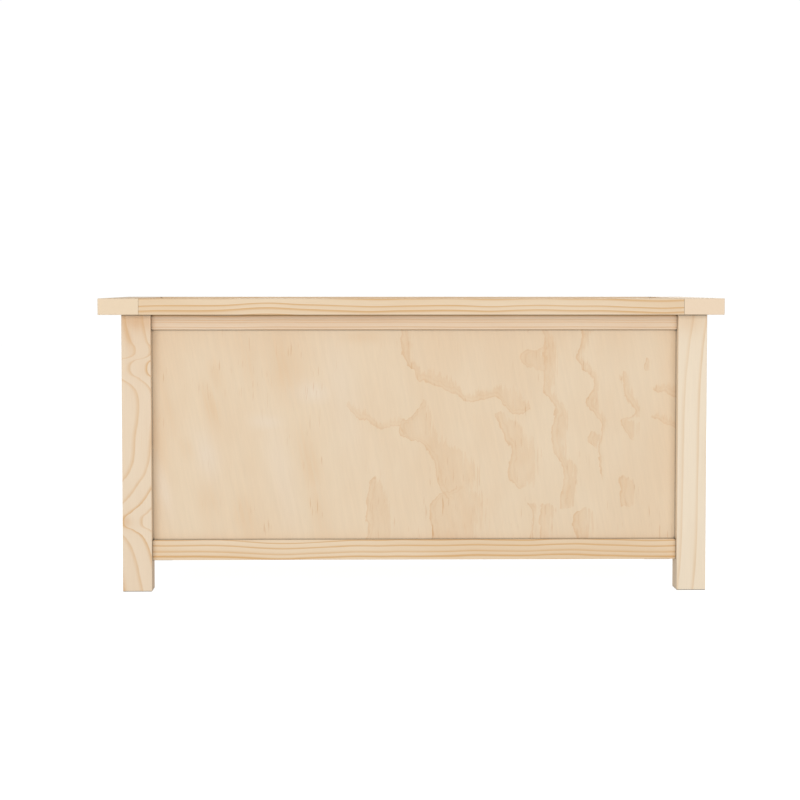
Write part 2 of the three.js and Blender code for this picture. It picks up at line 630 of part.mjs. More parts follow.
function addStay(root, side, outward) {
  const inward = -outward;
  const stay = new THREE.Group();
  stay.position.x = BOX_OFFSET_X + outward * insideFaces().railX;
  root.add(stay);
  const { plate, lower, upper, web } = stayLayers();
  const pivots = stayPivots();
  const prefix = `stay_${side}`;

  const lowerGeometry = stayArmGeometry(pivots.box.distanceTo(pivots.elbow), inward, lower);
  const lowerArm = addMesh(stay, `${prefix}_lower_arm`, lowerGeometry, STEEL);
  placeArm(lowerArm, pivots.box, pivots.elbow);
  const upperGeometry = stayArmGeometry(pivots.lid.distanceTo(pivots.elbow), inward, upper);
  const upperArm = addMesh(stay, `${prefix}_upper_arm`, upperGeometry, STEEL);
  placeArm(upperArm, pivots.lid, pivots.elbow);

  const boxBracket = addMesh(stay, `${prefix}_box_bracket`, stayBoxBracketGeometry(inward), STEEL);
  placeAtPivot(boxBracket, pivots.box);
  const lidBracket = addMesh(stay, `${prefix}_lid_bracket`, stayLidBracketGeometry(inward), STEEL);
  placeAtPivot(lidBracket, pivots.lid);

  const boxRivet = rivetGeometry(inward, plate, lower, false);
  placeAtPivot(addMesh(stay, `${prefix}_box_rivet`, boxRivet, STEEL), pivots.box);
  const elbowRivet = rivetGeometry(inward, lower, upper, true);
  placeAtPivot(addMesh(stay, `${prefix}_elbow_rivet`, elbowRivet, STEEL), pivots.elbow);
  const lidRivet = rivetGeometry(inward, upper, web, true);
  placeAtPivot(addMesh(stay, `${prefix}_lid_rivet`, lidRivet, STEEL), pivots.lid);
}

// Assembly -------------------------------------------------------------------------------

const group = new THREE.Group();

const carcass = new THREE.Group();
carcass.position.x = BOX_OFFSET_X;
addPosts(carcass);
addWalls(carcass);
addFloor(carcass);
addCleats(carcass);
group.add(carcass);

const lid = new THREE.Group();
lid.position.set(0, (LID_FRONT_Y + LID_BACK_Y) / 2, LID_UNDERSIDE);
addLidFrame(lid);
group.add(lid);

addHinges(group);
addStay(group, 'left', -1);
addStay(group, 'right', 1);

export default group;
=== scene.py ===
"""Wooden toy box: materials, small hardware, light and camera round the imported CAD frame."""
import math

import bmesh
import bpy
from mathutils import Matrix, Quaternion, Vector


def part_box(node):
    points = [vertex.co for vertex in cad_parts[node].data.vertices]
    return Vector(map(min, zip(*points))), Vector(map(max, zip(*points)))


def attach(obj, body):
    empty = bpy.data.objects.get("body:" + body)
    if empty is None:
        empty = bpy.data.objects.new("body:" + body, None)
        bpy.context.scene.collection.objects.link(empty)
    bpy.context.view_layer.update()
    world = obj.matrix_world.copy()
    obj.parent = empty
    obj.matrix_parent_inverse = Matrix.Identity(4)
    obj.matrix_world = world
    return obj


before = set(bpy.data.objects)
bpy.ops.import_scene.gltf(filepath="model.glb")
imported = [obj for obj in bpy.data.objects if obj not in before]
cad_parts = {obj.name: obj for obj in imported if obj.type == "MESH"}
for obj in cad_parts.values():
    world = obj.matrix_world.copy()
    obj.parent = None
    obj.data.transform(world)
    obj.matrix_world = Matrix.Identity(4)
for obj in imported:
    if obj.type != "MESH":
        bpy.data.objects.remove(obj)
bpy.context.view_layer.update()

MM = 0.001
AXES = {"x": 0, "y": 1, "z": 2}

# How far, and along how many rays, a surface looks for others near it.
OPENNESS_REACH = 4 * MM
OPENNESS_SAMPLES = 8


# Node graphs -----------------------------------------------------------------------------


class Graph:
    """A node tree that is written from top to bottom. Each method returns an output socket."""

    def __init__(self, tree):
        self.nodes = tree.nodes
        self.links = tree.links

    def add(self, kind, **settings):
        node = self.nodes.new(kind)
        for key, value in settings.items():
            setattr(node, key, value)
        return node

    def feed(self, socket, value):
        if isinstance(value, bpy.types.NodeSocket):
            self.links.new(value, socket)
        else:
            socket.default_value = value

    def math(self, operation, *values, clamp=False):
        node = self.add("ShaderNodeMath", operation=operation, use_clamp=clamp)
        for socket, value in zip(node.inputs, values):
            self.feed(socket, value)
        return node.outputs[0]

    def total(self, *values):
        result = values[0]
        for value in values[1:]:
            result = self.math("ADD", result, value)
        return result

    def product(self, *values):
        result = values[0]
        for value in values[1:]:
            result = self.math("MULTIPLY", result, value)
        return result

    def vector(self, operation, *values):
        node = self.add("ShaderNodeVectorMath", operation=operation)
        for socket, value in zip(node.inputs, values):
            self.feed(socket, value)
        return node.outputs[0]

    def dot(self, first, second):
        node = self.add("ShaderNodeVectorMath", operation="DOT_PRODUCT")
        self.feed(node.inputs[0], first)
        self.feed(node.inputs[1], second)
        return node.outputs["Value"]

    def split(self, vector):
        node = self.add("ShaderNodeSeparateXYZ")
        self.feed(node.inputs[0], vector)
        return node.outputs[0], node.outputs[1], node.outputs[2]

    def join(self, x, y, z):
        node = self.add("ShaderNodeCombineXYZ")
        for socket, value in zip(node.inputs, (x, y, z)):
            self.feed(socket, value)
        return node.outputs[0]


class MaterialGraph(Graph):
    """The nodes of one new material."""

    def __init__(self, name):
        self.material = bpy.data.materials.new(name)
        self.material.use_nodes = True
        super().__init__(self.material.node_tree)
        self.shader = self.nodes["Principled BSDF"]

    def object_position(self):
        return self.add("ShaderNodeTexCoord").outputs["Object"]

    def object_normal(self):
        return self.add("ShaderNodeTexCoord").outputs["Normal"]

    def noise(self, vector, scale=1.0, detail=2.0, roughness=0.5):
        node = self.add("ShaderNodeTexNoise")
        self.feed(node.inputs["Vector"], vector)
        node.inputs["Scale"].default_value = scale
        node.inputs["Detail"].default_value = detail
        node.inputs["Roughness"].default_value = roughness
        return node.outputs["Fac"]

    def white_noise(self, value):
        node = self.add("ShaderNodeTexWhiteNoise", noise_dimensions="1D")
        self.feed(node.inputs["W"], value)
        return node.outputs["Value"]

    def spread(self, value, from_low, from_high, to_low=0.0, to_high=1.0, smooth=False):
        node = self.add("ShaderNodeMapRange", clamp=True)
        node.interpolation_type = "SMOOTHSTEP" if smooth else "LINEAR"
        for socket, limit in zip(node.inputs, (value, from_low, from_high, to_low, to_high)):
            self.feed(socket, limit)
        return node.outputs[0]

    def ramp(self, value, stops):
        node = self.add("ShaderNodeValToRGB")
        ramp = node.color_ramp
        while len(ramp.elements) < len(stops):
            ramp.elements.new(0.5)
        for element, (place, colour) in zip(ramp.elements, stops):
            element.position = place
            element.color = colour
        self.feed(node.inputs[0], value)
        return node.outputs[0]

    def blend(self, factor, first, second, mode="MIX"):
        node = self.add("ShaderNodeMix", data_type="RGBA", blend_type=mode)
        colours = [socket for socket in node.inputs if socket.type == "RGBA"]
        self.feed(node.inputs[0], factor)
        self.feed(colours[0], first)
        self.feed(colours[1], second)
        return next(socket for socket in node.outputs if socket.type == "RGBA")

    def shaded(self, colour, shade):
        """The colour made lighter or darker by a plain factor."""
        return self.blend(1.0, colour, self.join(shade, shade, shade), "MULTIPLY")

    def bump(self, height, strength, distance):
        node = self.add("ShaderNodeBump")
        node.inputs["Strength"].default_value = strength
        node.inputs["Distance"].default_value = distance
        self.feed(node.inputs["Height"], height)
        return node.outputs[0]

    def openness(self):
        """How open the surface is to the air around it, within a few millimetres."""
        node = self.add("ShaderNodeAmbientOcclusion", samples=OPENNESS_SAMPLES)
        node.inputs["Distance"].default_value = OPENNESS_REACH
        return node.outputs["AO"]

    def corner_shade(self, openness):
        """A little darker in a corner, and 1 out of it."""
        return self.spread(openness, 0.3, 0.8, 0.3, 1.0)

    def crease_shade(self, openness):
        """Dark where an edge faces a narrow gap above or below it, else as in a corner."""
        level = self.math("ABSOLUTE", self.dot(self.object_normal(), (0.0, 0.0, 1.0)))
        corner = self.corner_shade(openness)
        gap = self.spread(openness, 0.55, 0.93, 0.04, 1.0)
        deeper = self.math("SUBTRACT", gap, corner)
        return self.math("MULTIPLY_ADD", self.spread(level, 0.02, 0.3), deeper, corner)

    def finish(self, colour, roughness, normal, specular):
        self.feed(self.shader.inputs["Base Color"], colour)
        self.feed(self.shader.inputs["Roughness"], roughness)
        self.feed(self.shader.inputs["Normal"], normal)
        self.shader.inputs["Specular IOR Level"].default_value = specular
        return self.material


def srgb(red, green, blue):
    """An 8-bit display colour as linear RGBA."""
    def linear(value):
        part = value / 255
        return part / 12.92 if part <= 0.04045 else ((part + 0.055) / 1.055) ** 2.4
    return (linear(red), linear(green), linear(blue), 1.0)


def grey(value):
    return (value, value, value, 1.0)


# Wood ------------------------------------------------------------------------------------

WOOD_SPECULAR = 0.3

# How far a spot and a panel's streaks lean to the left for each unit that they go up.
SPOT_LEAN = 0.2


def board_coordinates(graph, node_name, along):
    """The place in a board, from its centre: (along the grain, first cross axis, second)."""
    low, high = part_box(node_name)
    local = graph.vector("SUBTRACT", graph.object_position(), tuple((low + high) / 2))
    parts = graph.split(local)
    length = AXES[along]
    across = [axis for axis in range(3) if axis != length]
    return parts[length], parts[across[0]], parts[across[1]]


def bell(graph, value, place, width):
    """1 at one place, falling smoothly to 0 at about twice the width from it."""
    offset = graph.math("DIVIDE", graph.math("SUBTRACT", value, place), width)
    return graph.math("POWER", math.e, graph.product(offset, offset, -1.0))


def fibre_noise(graph, w, u, v, seed, fineness, stretch, detail=3.0, roughness=0.6):
    """Noise drawn out along the grain: fineness cells per metre across it, stretched along it."""
    spot = graph.join(
        graph.math("MULTIPLY", u, fineness),
        graph.math("MULTIPLY", v, fineness),
        graph.math("MULTIPLY_ADD", w, fineness / stretch, seed),
    )
    return graph.noise(spot, 1.0, detail, roughness)


# Pine. The look of a board comes from where in the trunk it was sawn:
#   pith      middle of the trunk, in the board's two cross axes (in X, Y, Z order)
#   tilt      how far the pith drifts for each metre along the board
#   spacing   from one growth ring to the next
#   phase     where in a ring the count starts
#   wave      how far the rings wander, and wave_length the run in which they do
#   uneven    how far a ring is from its even place, in rings
#   swells    bulges of the rings as (place along the board, length, height)
#   swelling  the same for a board with many of them, as (place, height) points in millimetres
#   stains_and_shade  darker spots, as soft_spots takes them: stains, and painted shade below the lid
#   late      share of a ring that is dark, and contrast its strength
#   light     and warm are the colours between its rings, and end that of its end grain
PINE_LIGHT = srgb(235, 213, 183)
PINE_WARM = srgb(231, 205, 171)
PINE_LATE = srgb(216, 172, 118)
PINE_CANAL = srgb(216, 176, 130)
# The colour of stains, and also of the painted shade below the lid on the front posts.
PINE_STAIN_AND_SHADE = srgb(214, 166, 112)
PINE_END = srgb(235, 213, 183)
PINE_DEFAULTS = {
    "tilt": (0.0, 0.0),
    "spacing": 7 * MM,
    "phase": 0.0,
    "wave": 3 * MM,
    "wave_length": 0.16,
    "uneven": 0.45,
    "swells": (),
    "swelling": (),
    "stains_and_shade": (),
    "seed": 0.0,
    "late": 0.42,
    "contrast": 0.8,
    "light": PINE_LIGHT,
    "warm": PINE_WARM,
    "end": PINE_END,
}


def curve_through(graph, value, points):
    """A smooth curve through a few (place, height) points, in millimetres."""
    places, heights = zip(*points)
    low, high = min(heights), max(heights)
    reach = max(high - low, 1.0)
    node = graph.add("ShaderNodeFloatCurve")
    curve = node.mapping.curves[0]
    while len(curve.points) < len(points):
        curve.points.new(0.5, 0.5)
    for knot, (place, height) in zip(curve.points, points):
        knot.location = ((place - places[0]) / (places[-1] - places[0]), (height - low) / reach)
        knot.handle_type = "AUTO_CLAMPED"
    node.mapping.update()
    graph.feed(node.inputs["Factor"], 1.0)
    graph.feed(node.inputs["Value"], graph.spread(value, places[0] * MM, places[-1] * MM))
    return graph.math("MULTIPLY_ADD", node.outputs[0], reach * MM, low * MM)


def soft_spots(graph, w, u, spots):
    """Soft spots that lean, as (across, along, reach across, reach along, strength), in mm."""
    result = 0.0
    for across, along, reach_across, reach_along, strength in spots:
        up = graph.math("SUBTRACT", w, along * MM)
        side = graph.math("MULTIPLY_ADD", up, SPOT_LEAN, graph.math("SUBTRACT", u, across * MM))
        side = graph.math("DIVIDE", side, reach_across * MM)
        up = graph.math("DIVIDE", up, reach_along * MM)
        square = graph.total(graph.product(side, side), graph.product(up, up))
        spot = graph.math("POWER", math.e, graph.math("MULTIPLY", square, -1.0))
        result = graph.math("MAXIMUM", result, graph.math("MULTIPLY", spot, strength))
    return result


def growth_rings(graph, w, u, v, board):
    """Distance from the tree's pith, in growth rings, warped as real timber is."""
    wave = board["wave"]
    spot = graph.join(
        graph.math("MULTIPLY_ADD", w, 1 / board["wave_length"], board["seed"]),
        graph.math("MULTIPLY", u, 9.0),
        graph.math("MULTIPLY", v, 9.0),
    )
    shifted = graph.vector("ADD", spot, (17.3, 4.1, 8.9))
    sides = []
    for value, pith, tilt, place in zip((u, v), board["pith"], board["tilt"], (spot, shifted)):
        drift = graph.spread(graph.noise(place, 1.0, 1.5), 0.25, 0.75, -wave, wave)
        straight = graph.math("SUBTRACT", value, pith)
        sides.append(graph.total(straight, graph.math("MULTIPLY", w, -tilt), drift))
    squares = [graph.math("MULTIPLY", side, side) for side in sides]
    radius = graph.math("SQRT", graph.total(*squares))
    for place, length, height in board["swells"]:
        radius = graph.total(radius, graph.math("MULTIPLY", bell(graph, w, place, length), height))
    if board["swelling"]:
        radius = graph.total(radius, curve_through(graph, w, board["swelling"]))
    rings = graph.math("DIVIDE", radius, board["spacing"])
    place = graph.join(graph.math("MULTIPLY", rings, 0.9), board["seed"], 0.0)
    uneven = board["uneven"]
    return graph.total(
        rings, board["phase"], graph.spread(graph.noise(place), 0.2, 0.8, -uneven, uneven))


def pine(node_name, along, choices):
    """Planed and lacquered pine, cut as one board out of a trunk."""
    board = {**PINE_DEFAULTS, **choices}
    graph = MaterialGraph("pine_" + node_name)
    seed = board["seed"]
    w, u, v = board_coordinates(graph, node_name, along)
    rings = growth_rings(graph, w, u, v, board)
    fibre = fibre_noise(graph, w, u, v, seed + 21.0, 1500.0, 55.0)
    streak = fibre_noise(graph, w, u, v, seed + 31.0, 420.0, 60.0)
    rings = graph.total(rings, graph.spread(streak, 0.2, 0.8, -0.035, 0.035))
    in_ring = graph.math("FRACT", rings)
    late = board["late"]
    latewood = graph.ramp(in_ring, (
        (0.0, grey(0.25)),
        (0.15 * late, grey(0.0)),
        (1.0 - late, grey(0.10)),
        (1.0 - 0.48 * late, grey(0.62)),
        (1.0 - 0.17 * late, grey(1.0)),
        (1.0, grey(0.25)),
    ))
    ring_weight = graph.spread(graph.white_noise(graph.math("FLOOR", rings)), 0, 1, 0.55, 1.0)
    patchy = fibre_noise(graph, w, u, v, seed + 3.0, 26.0, 9.0)
    patchy = graph.spread(patchy, 0.3, 0.7, 0.6, 1.0)
    strength = graph.product(latewood, ring_weight, patchy, board["contrast"])
    strength = graph.math("MINIMUM", strength, 1.0)
    tone = fibre_noise(graph, w, u, v, seed + 9.0, 14.0, 6.0)
    colour = graph.blend(
        graph.spread(tone, 0.35, 0.65, smooth=True), board["light"], board["warm"])
    # Darker spots: stains, and painted shade below the lid on the front posts.
    stain_and_shade = graph.product(
        soft_spots(graph, w, u, board["stains_and_shade"]), graph.spread(streak, 0.3, 0.7, 0.75, 1.1))
    colour = graph.blend(stain_and_shade, colour, PINE_STAIN_AND_SHADE)
    colour = graph.blend(strength, colour, PINE_LATE)
    canals = graph.spread(streak, 0.66, 0.8, 0.0, 0.3)
    colour = graph.blend(canals, colour, PINE_CANAL)
    colour = graph.shaded(colour, graph.spread(fibre, 0.25, 0.75, 0.965, 1.02))
    facing = [1.0 if axis == along else 0.0 for axis in "xyz"]
    end_grain = graph.math("ABSOLUTE", graph.dot(graph.object_normal(), facing))
    end_grain = graph.spread(end_grain, 0.75, 0.95)
    pores = graph.noise(graph.object_position(), 1400.0, 2.0)
    end_strength = graph.math("MULTIPLY", strength, 0.04)
    end_colour = graph.blend(end_strength, board["end"], PINE_LATE)
    end_colour = graph.shaded(end_colour, graph.spread(pores, 0.3, 0.7, 0.985, 1.01))
    colour = graph.blend(end_grain, colour, end_colour)
    # Painted shade: darker in corners, and much darker on an edge that faces a narrow gap, as under
    # the lid.
    colour = graph.shaded(colour, graph.crease_shade(graph.openness()))
    sheen = graph.math("MULTIPLY_ADD", strength, -0.3, fibre)
    rough = graph.spread(sheen, 0.1, 0.9, 0.46, 0.62)
    relief = graph.math("MULTIPLY_ADD", fibre, 0.6, strength)
    normal = graph.bump(relief, 0.25, 0.15 * MM)
    return graph.finish(colour, rough, normal, WOOD_SPECULAR)


# Rotary-cut veneer. A dark band has one sharp edge and one that frays along the fibre. Where a
# panel's figure is not drawn, noise makes it:
#   slope, bend       bands per metre across, and how fast that grows
#   lean              how far the bands lean, before they stand upright
#   upright_from, upright_to  where across the panel they come upright
#   start, full       where across the panel they set in
#   wander            how far they wander, in bands
PLY_LIGHT = srgb(233, 212, 183)
PLY_SHADE = srgb(231, 207, 176)
PLY_PALE = srgb(234, 217, 195)
PLY_BAND = srgb(226, 195, 159)
PLY_EDGE = srgb(220, 182, 139)
PLY_SMUDGE = srgb(225, 193, 155)
PLY_FLECK = srgb(206, 158, 106)
BAND_STRENGTH = 0.55
EDGE_STRENGTH = 0.55
SMUDGE_STRENGTH = 0.95
FLECK_STRENGTH = 0.42
PLY_DEFAULTS = {
    "slope": 7.0,
    "bend": 18.0,
    "lean": 0.7,
    "upright_from": 0.05,
    "upright_to": 0.22,
    "start": -0.16,
    "full": -0.06,
    "wander": 0.55,
    "seed": 0.0,
    "bands": (),
    "smudges": (),
    "pales": (),
}


def wander(graph, w, u, v, seed, octaves):
    """Smooth noise, as the sum of (cells per metre, reach) octaves, each a little long."""
    moves = []
    for scale, reach in octaves:
        spot = graph.join(
            graph.math("MULTIPLY_ADD", u, scale, seed),
            graph.math("MULTIPLY", v, scale),
            graph.math("MULTIPLY", w, scale * 0.55),
        )
        moves.append(graph.spread(graph.noise(spot, 1.0, 0.0), 0.2, 0.8, -reach, reach))
    return graph.total(*moves)


def noise_bands(graph, w, u, v, figure):
    """Dark bands and their sharp edges, where a noisy number passes a whole number."""
    seed = figure["seed"]
    leaning = graph.spread(u, figure["upright_from"], figure["upright_to"], 1.0, 0.0, smooth=True)
    place = graph.total(u, graph.product(w, leaning, figure["lean"]))
    bend = graph.product(place, place, figure["bend"])
    reach = figure["wander"]
    number = graph.total(
        graph.math("MULTIPLY", place, figure["slope"]), bend,
        wander(graph, w, u, v, seed, ((9.0, reach), (26.0, 0.42 * reach), (75.0, 0.16 * reach))))
    in_band = graph.math("FRACT", number)
    fray = fibre_noise(graph, w, u, v, seed + 2.0, 300.0, 22.0)
    width = fibre_noise(graph, w, u, v, seed + 14.0, 13.0, 1.6, 1.0)
    width = graph.spread(width, 0.38, 0.66, 0.10, 0.62)
    ragged = graph.total(in_band, graph.spread(fray, 0.3, 0.7, -0.16, 0.16))
    past = graph.math("SUBTRACT", ragged, width)
    rise = graph.spread(in_band, 0.0, 0.025, smooth=True)
    fall = graph.spread(past, -0.05, 0.10, 1.0, 0.0, smooth=True)
    presence = graph.spread(u, figure["start"], figure["full"], smooth=True)
    patch = fibre_noise(graph, w, u, v, seed + 41.0, 9.0, 1.3, 1.0)
    patch = graph.spread(patch, 0.36, 0.52, 0.25, 1.0, smooth=True)
    line = graph.spread(in_band, 0.02, 0.10, 1.0, 0.0, smooth=True)
    body = graph.product(rise, fall, presence, patch)
    return body, graph.product(rise, line, presence, patch)


# A drawn band sets in over BAND_RISE at its sharp edge. Its fainter lines are (place, width).
BAND_RISE = 1 * MM
INNER_LINE = (8 * MM, 1.4 * MM)
TORN_LINE = (-2.5 * MM, 1.6 * MM)


def drawn_bands(graph, w, u, v, figure):
    """Dark bands given by a sharp edge and the width that they have from it.

    A band that runs along the fibre has its sharp edge on the left, given as (w, u) points.
    One that runs across has it below, given as (u, w) points. Besides the sharp edge's own dark
    line there is a fainter one inside it, and one along the frayed edge.
    """
    seed = figure["seed"]
    octaves = ((30.0, 3 * MM), (90.0, 2.4 * MM), (240.0, 1.3 * MM), (600.0, 0.5 * MM))
    moved = {
        "along": graph.total(w, wander(graph, w, u, v, seed, octaves)),
        "across": graph.total(u, wander(graph, w, u, v, seed + 6.0, octaves)),
    }
    fray = fibre_noise(graph, w, u, v, seed + 2.0, 330.0, 20.0)
    fray = graph.spread(fray, 0.3, 0.7, -1.0, 1.0)
    body = edge = 0.0
    for run, edge_points, width_points in figure["bands"]:
        place = moved[run]
        side = moved["across" if run == "along" else "along"]
        width = curve_through(graph, place, width_points)
        depth = graph.math("SUBTRACT", side, curve_through(graph, place, edge_points))
        rise = graph.spread(depth, 0.0, BAND_RISE, smooth=True)
        there = graph.spread(width, 0.5 * MM, 4 * MM)
        torn = graph.math("MULTIPLY", fray, graph.math("MULTIPLY_ADD", width, 0.3, 2.5 * MM))
        past = graph.math("SUBTRACT", graph.total(depth, torn), width)
        fall = graph.spread(past, -5 * MM, 3 * MM, 1.0, 0.0, smooth=True)
        line = graph.spread(depth, BAND_RISE, 4.5 * MM, 1.0, 0.0, smooth=True)
        inner_line = graph.math("MULTIPLY", bell(graph, depth, *INNER_LINE), 0.5)
        torn_line = graph.math("MULTIPLY", bell(graph, past, *TORN_LINE), 0.45)
        line = graph.math("MAXIMUM", line, graph.math("MAXIMUM", inner_line, torn_line))
        band = graph.product(rise, there, fall)
        body = graph.math("MAXIMUM", body, band)
        edge = graph.math("MAXIMUM", edge, graph.math("MULTIPLY", band, line))
    patch = fibre_noise(graph, w, u, v, seed + 41.0, 45.0, 2.0)
    patch = graph.spread(patch, 0.35, 0.62, 0.45, 1.0)
    return graph.product(body, patch), graph.product(edge, patch)


def plywood(node_name, along, choices):
    """Rotary-cut pine veneer: bands, sharp on one side and frayed on the other, and smudges."""
    figure = {**PLY_DEFAULTS, **choices}
    graph = MaterialGraph("plywood_" + node_name)
    seed = figure["seed"]
    w, u, v = board_coordinates(graph, node_name, along)
    streaks = fibre_noise(graph, w, graph.math("MULTIPLY_ADD", w, SPOT_LEAN, u), v,
                          seed + 27.0, 240.0, 22.0)
    streaks = graph.spread(streaks, 0.3, 0.7, -1.0, 1.0)
    if figure["bands"]:
        body, edge = drawn_bands(graph, w, u, v, figure)
        smudge = soft_spots(graph, w, u, figure["smudges"])
        smudge = graph.product(smudge, graph.math("MULTIPLY_ADD", streaks, 0.5, 0.85))
        pale = soft_spots(graph, w, u, figure["pales"])
        pale = graph.product(pale, graph.math("MULTIPLY_ADD", streaks, 0.15, 0.9))
    else:
        body, edge = noise_bands(graph, w, u, v, figure)
        sheared = graph.math("MULTIPLY_ADD", w, SPOT_LEAN, u)
        smudge = fibre_noise(graph, w, sheared, v, seed + 23.0, 24.0, 5.0, 1.5)
        smudge = graph.math("MULTIPLY_ADD", streaks, 0.05, smudge)
        smudge = graph.spread(smudge, 0.54, 0.70, smooth=True)
        pale = fibre_noise(graph, w, u, v, seed + 17.0, 15.0, 1.5, 2.0)
        pale = graph.spread(pale, 0.58, 0.72, 0.0, 0.8, smooth=True)

    tone = fibre_noise(graph, w, u, v, seed + 5.0, 11.0, 2.0)
    colour = graph.blend(graph.spread(tone, 0.3, 0.7, smooth=True), PLY_SHADE, PLY_LIGHT)
    colour = graph.blend(pale, colour, PLY_PALE)
    smudged = graph.math("MULTIPLY", smudge, SMUDGE_STRENGTH, clamp=True)
    colour = graph.blend(smudged, colour, PLY_SMUDGE)
    colour = graph.blend(graph.math("MULTIPLY", body, BAND_STRENGTH), colour, PLY_BAND)
    colour = graph.blend(graph.math("MULTIPLY", edge, EDGE_STRENGTH), colour, PLY_EDGE)

    fleck = fibre_noise(graph, w, u, v, seed + 7.0, 330.0, 11.0, 1.0)
    cluster = fibre_noise(graph, w, u, v, seed + 8.0, 17.0, 2.0, 1.0)
    near = graph.math("MAXIMUM", body, smudge)
    cluster = graph.total(graph.spread(cluster, 0.54, 0.66), graph.math("MULTIPLY", near, 0.8))
    flecks = graph.product(graph.spread(fleck, 0.64, 0.72), cluster)
    flecked = graph.math("MULTIPLY", flecks, FLECK_STRENGTH, clamp=True)
    colour = graph.blend(flecked, colour, PLY_FLECK)

    fibre = fibre_noise(graph, w, u, v, seed + 11.0, 1100.0, 40.0)
    colour = graph.shaded(colour, graph.spread(fibre, 0.25, 0.75, 0.98, 1.01))
    colour = graph.shaded(colour, graph.spread(streaks, -1.0, 1.0, 0.978, 1.014))
    # Painted shade: a little darker in corners.
    colour = graph.shaded(colour, graph.corner_shade(graph.openness()))
    rough = graph.spread(fibre, 0.2, 0.8, 0.48, 0.6)
    normal = graph.bump(fibre, 0.2, 0.1 * MM)
    return graph.finish(colour, rough, normal, WOOD_SPECULAR)


# The front panel's figure, drawn in millimetres from its centre.
FRONT_BANDS = (
    # the ribbon that comes down from the top edge and turns to the right
    ("along", ((76, 8), (95, -6), (115, -17), (133, -19), (150, -20)),
     ((76, 0), (86, 10), (95, 14), (150, 15))),
    ("across", ((-12, 100), (-4, 92), (5, 79), (45, 66), (62, 57), (80, 46), (96, 50), (118, 53),
                (132, 39), (145, 29), (156, 27), (166, 36)),
     ((-12, 0), (-4, 9), (5, 11), (45, 19), (80, 13), (118, 16), (132, 28), (150, 37), (160, 24),
      (170, 0))),
    # the ribbon left of the middle, and the broad body that it runs into
    ("across", ((-100, 38), (-88, 24), (-75, 20), (-49, 9), (-28, 11), (-14, 0)),
     ((-101, 0), (-92, 16), (-75, 14), (-49, 8), (-28, 14), (-14, 0))),
    ("along", ((-92, 50), (-75, 36), (-50, 26), (-27, 20), (-5, -6), (11, -25), (31, -3), (49, 13)),
     ((-95, 0), (-85, 28), (-70, 54), (-49, 64), (-33, 60), (-18, 42), (11, 52), (31, 28), (53, 0))),
    ("along", ((-155, 29), (-121, 25), (-103, 26), (-95, 31), (-87, 44), (-78, 60)),
     ((-155, 62), (-121, 71), (-103, 72), (-87, 46), (-74, 0))),
    # the short one right of the middle
    ("along", ((-78, 152), (-63, 138), (-49, 136), (-27, 138), (10, 126), (28, 117)),
     ((-80, 0), (-74, 20), (-49, 42), (-9, 36), (10, 28), (27, 14), (31, 0))),
    # the long upright one, with a knob on its left
    ("along", ((-106, 214), (-63, 218), (-27, 205), (14, 200), (35, 203), (64, 189), (150, 185)),
     ((-107, 0), (-103, 18), (-63, 20), (-27, 16), (20, 22), (50, 14), (110, 20), (150, 15))),
    ("along", ((93, 186), (100, 163), (108, 156), (118, 160), (128, 184)),
     ((91, 0), (97, 20), (108, 34), (120, 24), (129, 0))),
    # the second upright one, and its hook
    ("along", ((-70, 271), (10, 272), (26, 263), (50, 252), (68, 258), (100, 245), (119, 239),
               (150, 242)),
     ((-75, 0), (-60, 4), (10, 6), (26, 13), (45, 15), (68, 6), (100, 11), (119, 8), (150, 14))),
    ("along", ((-20, 264), (-10, 254), (4, 257)), ((-20, 0), (-12, 16), (-5, 18), (5, 0))),
    # the third upright one, with a hook, and the short one under it
    ("along", ((-6, 318), (10, 301), (20, 300), (28, 318), (46, 311), (64, 303), (94, 301)),
     ((-7, 0), (-2, 9), (14, 24), (26, 8), (46, 13), (64, 11), (88, 9), (94, 0))),
    ("along", ((-108, 304), (-82, 300), (-58, 304)), ((-108, 0), (-102, 18), (-82, 22), (-58, 0))),
    # the short ones at the right edge
    ("along", ((92, 337), (102, 333), (112, 337)), ((92, 0), (98, 12), (106, 12), (112, 0))),
    ("across", ((345, 67), (365, 59), (384, 52)), ((345, 0), (352, 4), (365, 12), (384, 18))),
    ("across", ((346, 25), (366, 18), (384, 10)), ((346, 0), (352, 8), (384, 14))),
    # the ones at the bottom edge
    ("along", ((-155, 166), (-118, 172), (-100, 163)), ((-155, 7), (-118, 6), (-105, 12), (-99, 0))),
    ("along", ((-155, 181), (-125, 183), (-100, 187)), ((-155, 16), (-112, 20), (-100, 0))),
    ("along", ((-155, 236), (-125, 231), (-104, 252)), ((-155, 16), (-125, 30), (-104, 0))),
    ("along", ((-155, -72), (-85, -70), (-60, -58)), ((-155, 38), (-110, 36), (-85, 28), (-58, 0))),
)
FRONT_SMUDGES = (
    (-290, 84, 10, 26, 0.45),
    (-297, 42, 11, 34, 0.6),
    (-240, 105, 15, 36, 0.4),
    (-192, 100, 26, 42, 0.5),
    (-154, -40, 14, 48, 0.55),
    (-140, -110, 14, 40, 0.45),
    (-249, -118, 15, 30, 0.45),
    (-298, -97, 18, 22, 0.35),
    (-332, -20, 11, 18, 0.3),
    (-362, 60, 6, 50, 0.4),
    (-372, -15, 12, 35, 0.3),
    (-75, 142, 30, 9, 0.35),
)
FRONT_PALES = (
    (-150, 62, 26, 16, 0.9),
    (-303, -30, 18, 35, 0.8),
    (-366, -80, 10, 40, 0.8),
    (-215, 18, 22, 12, 0.7),
    (-195, -50, 18, 80, 0.5),
    (-105, 60, 24, 90, 0.4),
)


def dress(node_name, material):
    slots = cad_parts[node_name].data.materials
    slots.clear()
    slots.append(material)


